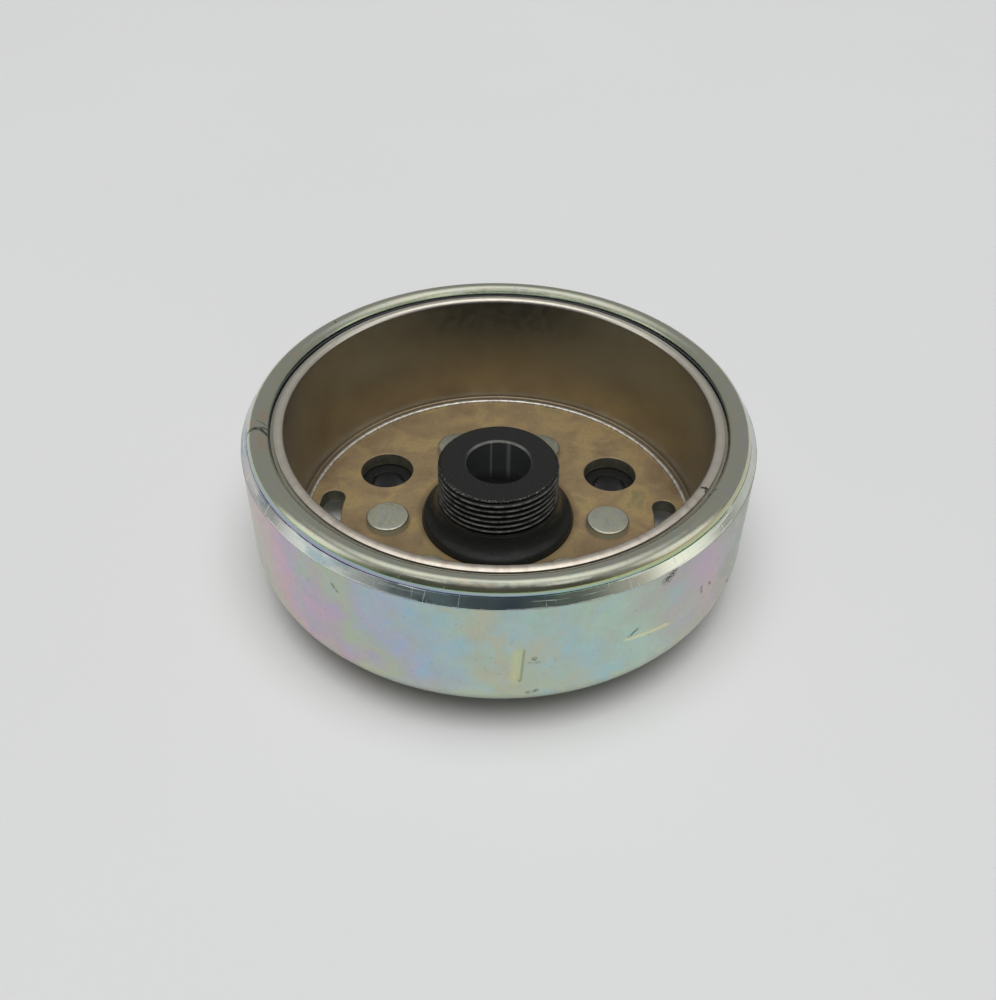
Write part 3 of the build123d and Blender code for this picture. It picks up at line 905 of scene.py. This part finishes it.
# ---- Hub -----------------------------------------------------------------------------
def lobe_reach(angle):
    """Radius of the flange outline: a disc with a rounded lobe at each bolt hole."""
    reach = FLANGE_R
    for middle in BOLT_ANGLES:
        away = (math.degrees(angle) - middle + 180) % 360 - 180
        across = BOLT_CIRCLE_R * math.sin(math.radians(away))
        if abs(away) < 60 and abs(across) < LOBE_R:
            edge = BOLT_CIRCLE_R * math.cos(math.radians(away)) + math.sqrt(LOBE_R**2 - across**2)
            reach = max(reach, edge)
    return reach


def thread_shape(angle, z):
    """Radius of the M28 x 1.5 thread at a point: a true right-hand helix with a run-out."""
    phase = ((z - THREAD_LOW) / THREAD_PITCH - angle / math.tau) % 1.0
    flank = abs(phase - 0.5) * 2
    cut = min(1.0, max(0.0, (flank - 0.16) / 0.68))
    cut = cut * cut * (3 - 2 * cut) * 0.35 + cut * 0.65
    return THREAD_R - THREAD_DEPTH * (1 - cut)


def hub_warp(angle, r, z):
    """Moves the hub's turned points: lobes on the flange, thread on the boss."""
    if r > 30:
        return r + lobe_reach(angle) - FLANGE_R, z
    if NECK_R + 0.2 < r and z > THREAD_LOW:
        run_in = min(1.0, max(0.0, (z - THREAD_LOW) / 0.7))
        thread = NECK_R + (thread_shape(angle, z) - NECK_R) * run_in
        return min(r, thread), z
    return r, z


def hub_outline():
    """Turned section: flange, spigot, bell skirt, neck, threaded boss and tapered bore."""
    chamfer_low = HUB_TOP - THREAD_CHAMFER
    thread_rows, chamfer_rows = 200, 16
    shoulder = (SPIGOT_R - SHOULDER_R, FLOOR_Z + 0.3)
    turn = math.radians(BELL_TURN)
    bell = (shoulder[0] + (SHOULDER_R + BELL_R) * math.cos(turn),
            shoulder[1] + (SHOULDER_R + BELL_R) * math.sin(turn))
    corners = [
        (TAPER_LOW_R, 0, 0.4),
        (FLANGE_R, 0, 0.6),
        (FLANGE_R, FLANGE_T, 0.4),
        (SPIGOT_R, FLANGE_T, 0),
    ]
    corners += arc(*shoulder, SHOULDER_R, 0, BELL_TURN, 8)
    corners += arc(*bell, BELL_R, 180 + BELL_TURN, BELL_END, 12)[1:]
    corners.append((NECK_R + 0.4, THREAD_LOW - 0.05, 0))
    for k in range(thread_rows + 1):
        corners.append((THREAD_R, THREAD_LOW + (chamfer_low - THREAD_LOW) * k / thread_rows, 0))
    for k in range(1, chamfer_rows):
        rise = THREAD_CHAMFER * k / chamfer_rows
        corners.append((THREAD_R - rise, chamfer_low + rise, 0))
    corners += [
        (THREAD_R - THREAD_CHAMFER, HUB_TOP, 0),
        (THREAD_R - THREAD_CHAMFER - 0.2, HUB_TOP, 0),
        (BORE_R + BORE_CHAMFER, HUB_TOP, 0.08),
        (BORE_R, HUB_TOP - BORE_CHAMFER, 0.08),
        (TAPER_TOP_R, HUB_TOP - BORE_DEPTH, 0),
    ]
    return rounded(corners)


def turned_tool(name, outline, segments, circle_r, angle):
    """Turned cutter for a hole on a bolt or rivet circle."""
    return lathe(name, [Vector(p) for p in outline], segments=segments, at=polar(circle_r, angle))


def flange_cutters():
    """Tools for the bolt holes with their seats and for the rivet holes."""
    seat = FLANGE_T - SEAT_DEPTH
    above, below = FLANGE_T + 1, -1
    bolt_outline = [
        (0, below),
        (BOLT_HOLE_R + 0.4, below),
        (BOLT_HOLE_R + 0.4, 0),
        (BOLT_HOLE_R, 0.4),
        (BOLT_HOLE_R, seat - 0.15),
        (BOLT_HOLE_R + 0.15, seat),
        (ACCESS_R, seat),
        (ACCESS_R, above),
        (0, above),
    ]
    tail_r, shank_r = RIVET_TAIL_R + PLAY, RIVET_SHANK_R + PLAY
    rivet_outline = [
        (0, below),
        (tail_r + 0.2, below),
        (tail_r, 0),
        (shank_r, RIVET_TAIL_H),
        (shank_r, above),
        (0, above),
    ]
    cutters = [turned_tool("bolt_tool", bolt_outline, 96, BOLT_CIRCLE_R, a) for a in BOLT_ANGLES]
    cutters += [turned_tool("rivet_tool", rivet_outline, 64, RIVET_CIRCLE_R, a) for a in rivet_angles()]
    return cutters


def keyway_cutter():
    """Bar that cuts the keyway into the tapered bore, on the camera's side."""
    half = KEYWAY_W / 2
    section = [(-half, -KEYWAY_REACH), (half, -KEYWAY_REACH), (half, 0), (-half, 0)]
    levels = (-1, HUB_TOP - BORE_DEPTH)
    return loft("key_tool", [[(x, y, z) for x, y in section] for z in levels])


def build_hub():
    """Black hub: turned body with a true thread, then its holes and keyway."""
    hub = lathe("hub_black", hub_outline(), segments=288, warp=hub_warp)
    carve(hub, [join("hub_tools", flange_cutters())])
    carve(hub, [keyway_cutter()])
    paint(hub, [black_oxide()])
    finish_piece(hub, "black_oxide_steel", "hub")


# ---- Rivets --------------------------------------------------------------------------
def build_rivets():
    """Six closed rivets: low round heads with a bright rounded edge."""
    material = rivet_plate()
    shank_top = FLOOR_Z
    corners = [
        (0, 0.02, 0),
        (RIVET_TAIL_R, 0.02, 0.1),
        (RIVET_SHANK_R, RIVET_TAIL_H, 0.3),
        (RIVET_SHANK_R, shank_top, 0),
        (RIVET_HEAD_R + 0.06, shank_top, 0),
        (RIVET_HEAD_R, RIVET_TOP, 0.42),
        (RIVET_HEAD_R * 0.6, RIVET_TOP, 0),
        (0, RIVET_TOP, 0),
    ]
    outline = rounded(corners, arc_step=12)
    for index, angle in enumerate(rivet_angles()):
        rivet = lathe(f"rivet_{index + 1}", outline, segments=96, at=polar(RIVET_CIRCLE_R, angle))
        paint(rivet, [material])
        finish_piece(rivet, "rivet_steel", *(["hub_rivets"] if index == 0 else []))


# ---- Liner ---------------------------------------------------------------------------
def build_liner():
    """Thin drawn liner: turned-in foot, straight wall and folded-out rounded lip."""
    out_r = LINER_R + LINER_T
    foot = liner_low.z
    turn = math.radians(LIP_TURN)
    crown = (LINER_R + LIP_BEND_R - (LIP_CROWN_R - LIP_BEND_R) * math.cos(turn), LIP_TOP - LIP_CROWN_R)
    bend = (LINER_R + LIP_BEND_R, crown[1] + (LIP_CROWN_R - LIP_BEND_R) * math.sin(turn))
    last = math.degrees(math.acos((LIP_R - 0.12 - crown[0]) / LIP_CROWN_R))
    corners = [
        (FOOT_R, foot, 0.05),
        (out_r, foot, 0.9),
    ]
    corners += arc(*bend, LIP_BEND_R - LINER_T, 180, LIP_TURN, 6)
    corners += arc(*crown, LIP_CROWN_R - LINER_T, LIP_TURN, last, 6)[1:]
    corners += arc(*crown, LIP_CROWN_R, last, LIP_TURN, 10)
    corners += arc(*bend, LIP_BEND_R, LIP_TURN, 180, 10)[1:]
    corners += [
        (LINER_R, foot + LINER_T, 0.4),
        (FOOT_R, foot + LINER_T, 0.40),
    ]
    liner = lathe("magnet_sleeve_satin", rounded(corners, arc_step=9))
    paint(liner, [liner_steel()])
    finish_piece(liner, "stainless_liner", "magnet_sleeve")


# ---- Hidden CAD pieces ---------------------------------------------------------------
def dress_hidden():
    """Materials for the magnets, dividers and spacer rings, which keep their CAD shape."""
    magnets, plastic = ferrite(), spacer_plastic()
    for name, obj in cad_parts.items():
        is_magnet = name.startswith("magnet_") and name[7:].isdigit()
        if is_magnet or "divider" in name or "spacer" in name:
            obj.data.materials.clear()
            obj.data.materials.append(magnets if is_magnet else plastic)


# ---- Stage ---------------------------------------------------------------------------
def build_floor():
    """Pale table. It darkens and ends in front of the camera, as polished metal mirrors it there."""
    reach, front_edge = 6.0, -0.9        # metres
    mesh = bpy.data.meshes.new("table")
    corners = [(-reach, front_edge), (reach, front_edge), (reach, reach), (-reach, reach)]
    mesh.from_pydata([(x, y, 0) for x, y in corners], [], [(0, 1, 2, 3)])
    table = bpy.data.objects.new("table", mesh)
    bpy.context.scene.collection.objects.link(table)
    s = Shader("pale_table", Roughness=0.6)
    cloud = s.noise(0.004, 3.0)
    pale = s.ramp(cloud, [(0.3, (0.755, 0.76, 0.76, 1)), (0.7, (0.775, 0.78, 0.78, 1))])
    shade = s.fit(s.y, -350.0, -800.0)
    s.set(Base_Color=s.mix(shade, pale, (0.03, 0.03, 0.03, 1)))
    s.set(Specular_IOR_Level=0.15)
    mesh.materials.append(s.material)


def build_world():
    """Light tent: a bright panel overhead, grey walls, and a dark front where the camera stands.

    x, y and z are the parts of the direction that a ray leaves in: +Y is away from the camera.
    """
    world = bpy.data.worlds.new("studio")
    bpy.context.scene.world = world
    world.use_nodes = True
    tree = world.node_tree
    nodes, links = tree.nodes, tree.links
    background = nodes["Background"]
    coords = nodes.new("ShaderNodeTexCoord")
    parts = nodes.new("ShaderNodeSeparateXYZ")
    links.new(coords.outputs["Generated"], parts.inputs[0])

    def fade(value, start, end):
        made = nodes.new("ShaderNodeMapRange")
        made.interpolation_type = "SMOOTHSTEP"
        links.new(value, made.inputs[0])
        made.inputs[1].default_value = start
        made.inputs[2].default_value = end
        return made.outputs[0]

    def mix(factor, a, b):
        made = nodes.new("ShaderNodeMix")
        made.data_type = "RGBA"
        links.new(factor, made.inputs["Factor"])
        for socket, value in ((made.inputs["A"], a), (made.inputs["B"], b)):
            if isinstance(value, bpy.types.NodeSocket):
                links.new(value, socket)
            else:
                socket.default_value = (*value, 1)
        return made.outputs["Result"]

    def calc(operation, a, b=0.0):
        made = nodes.new("ShaderNodeMath")
        made.operation = operation
        for socket, value in zip(made.inputs, (a, b)):
            if isinstance(value, bpy.types.NodeSocket):
                links.new(value, socket)
            else:
                socket.default_value = value
        return made.outputs[0]

    def near(value, middle, core, edge):
        """1 within core of the middle value, 0 beyond edge."""
        return fade(calc("ABSOLUTE", calc("SUBTRACT", value, middle)), edge, core)

    x, y, z = parts.outputs
    gloom, panel = (0.14, 0.141, 0.142), (4.64, 4.64, 4.63)
    grey, dark = (0.29, 0.29, 0.29), (0.09, 0.092, 0.095)
    side_wall, ceiling, window = (0.98, 0.98, 0.97), (0.98, 0.97, 0.94), (0.74, 0.74, 0.73)
    across = calc("ABSOLUTE", x)

    # what lights the table and the matt surfaces: a panel above that leans to the front
    lean = math.radians(12.3)
    front_up = calc("ADD", calc("MULTIPLY", z, math.cos(lean)), calc("MULTIPLY", y, -math.sin(lean)))
    lit = mix(fade(front_up, 0.86, 0.96), gloom, panel)

    # what polished surfaces mirror: grey walls with a lit wall to either side
    sides = calc("MULTIPLY", fade(across, 0.55, 0.85), fade(z, 0.0, 0.15))
    seen = mix(sides, grey, mix(near(y, -0.16, 0.12, 0.38), grey, side_wall))
    # the front is dark, in a wedge round the camera
    aside = calc("ABSOLUTE", calc("ADD", x, 0.05))
    depth = calc("ADD", y, calc("MULTIPLY", aside, 0.7))
    seen = mix(fade(depth, -0.05, -0.35), seen, dark)
    # the ceiling is bright from straight above towards the back
    seen = mix(calc("MULTIPLY", fade(z, 0.74, 1.0), fade(depth, -0.05, 0.34)), seen, ceiling)
    # a window stands to either side of the dark front, the left one a little higher
    beside = calc("MULTIPLY", near(across, 0.36, 0.05, 0.14), near(y, -0.50, 0.10, 0.24))
    rise = calc("ADD", z, calc("MULTIPLY", x, 0.3))
    seen = mix(calc("MULTIPLY", beside, fade(rise, 0.62, 0.77)), seen, window)

    rays = nodes.new("ShaderNodeLightPath")
    room = mix(rays.outputs["Is Glossy Ray"], lit, seen)
    room = mix(fade(z, 0.02, -0.06), room, dark)
    links.new(room, background.inputs[0])
    background.inputs[1].default_value = 1.0


def build_camera():
    """Camera in front of the part, looking down on it."""
    data = bpy.data.cameras.new("camera")
    data.lens = 39.6
    data.sensor_width = 36.0
    camera = bpy.data.objects.new("camera", data)
    down, roll = math.radians(41.45), math.radians(0.94)
    camera.location = (0.0, -0.19416, 0.17627 + FLOOR_Z * MM)
    turn = Matrix.Rotation(math.pi / 2 - down, 4, "X") @ Matrix.Rotation(roll, 4, "Z")
    camera.rotation_euler = turn.to_euler()
    bpy.context.scene.collection.objects.link(camera)
    bpy.context.scene.camera = camera


build_cup()
build_hub()
build_rivets()
build_liner()
dress_hidden()
build_floor()
build_world()
build_camera()
bpy.context.scene.view_settings.view_transform = "Standard"
